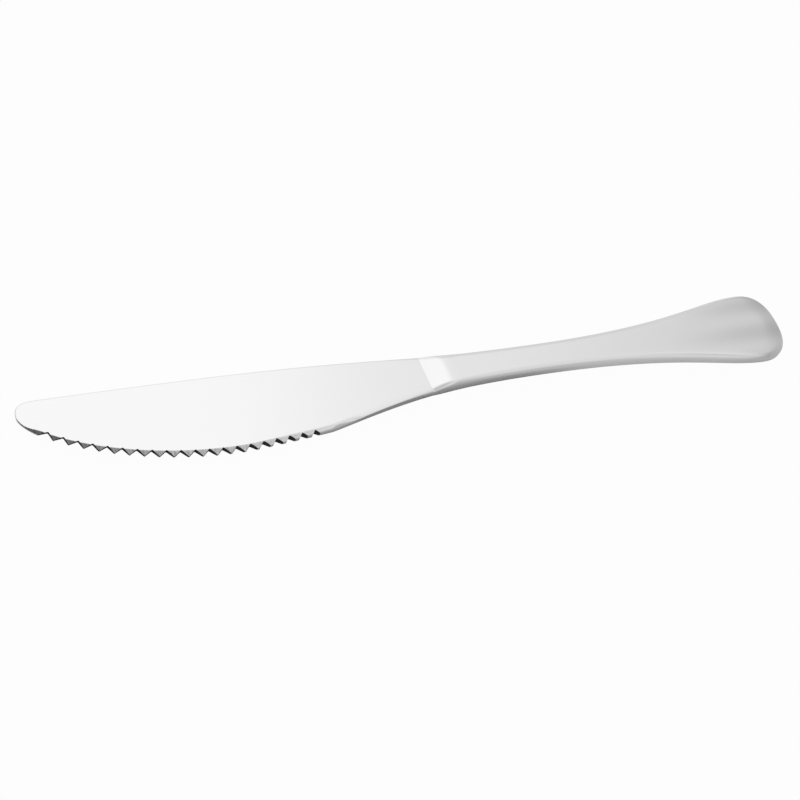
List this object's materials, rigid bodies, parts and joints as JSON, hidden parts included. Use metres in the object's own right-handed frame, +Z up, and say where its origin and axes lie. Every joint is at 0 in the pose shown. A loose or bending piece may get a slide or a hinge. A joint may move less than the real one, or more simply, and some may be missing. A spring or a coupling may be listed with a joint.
{
  "type": "dessert knife",
  "caption": "Polished steel dessert knife: round-tipped serrated blade, ramped bolster and a slim hollow handle with a flared end.",
  "frame": {"origin": "on the table plane below the middle of the knife's box, as it lies on its side", "axes": "+X from the blade's tip to the end of the handle, +Y towards the spine, +Z up out of the seen face"},
  "size_m": [0.205, 0.022, 0.0039],
  "materials": {
    "blade_steel": "polished",
    "handle_steel": "polished",
    "solder": "polished flush with the steel",
    "cement": "matte"
  },
  "bodies": {
    "root": {"blade": "blade_steel", "solder_ring": "solder", "handle_shell_upper": "handle_steel", "handle_shell_lower": "handle_steel", "handle_filling": "cement"}
  },
  "joints": []
}
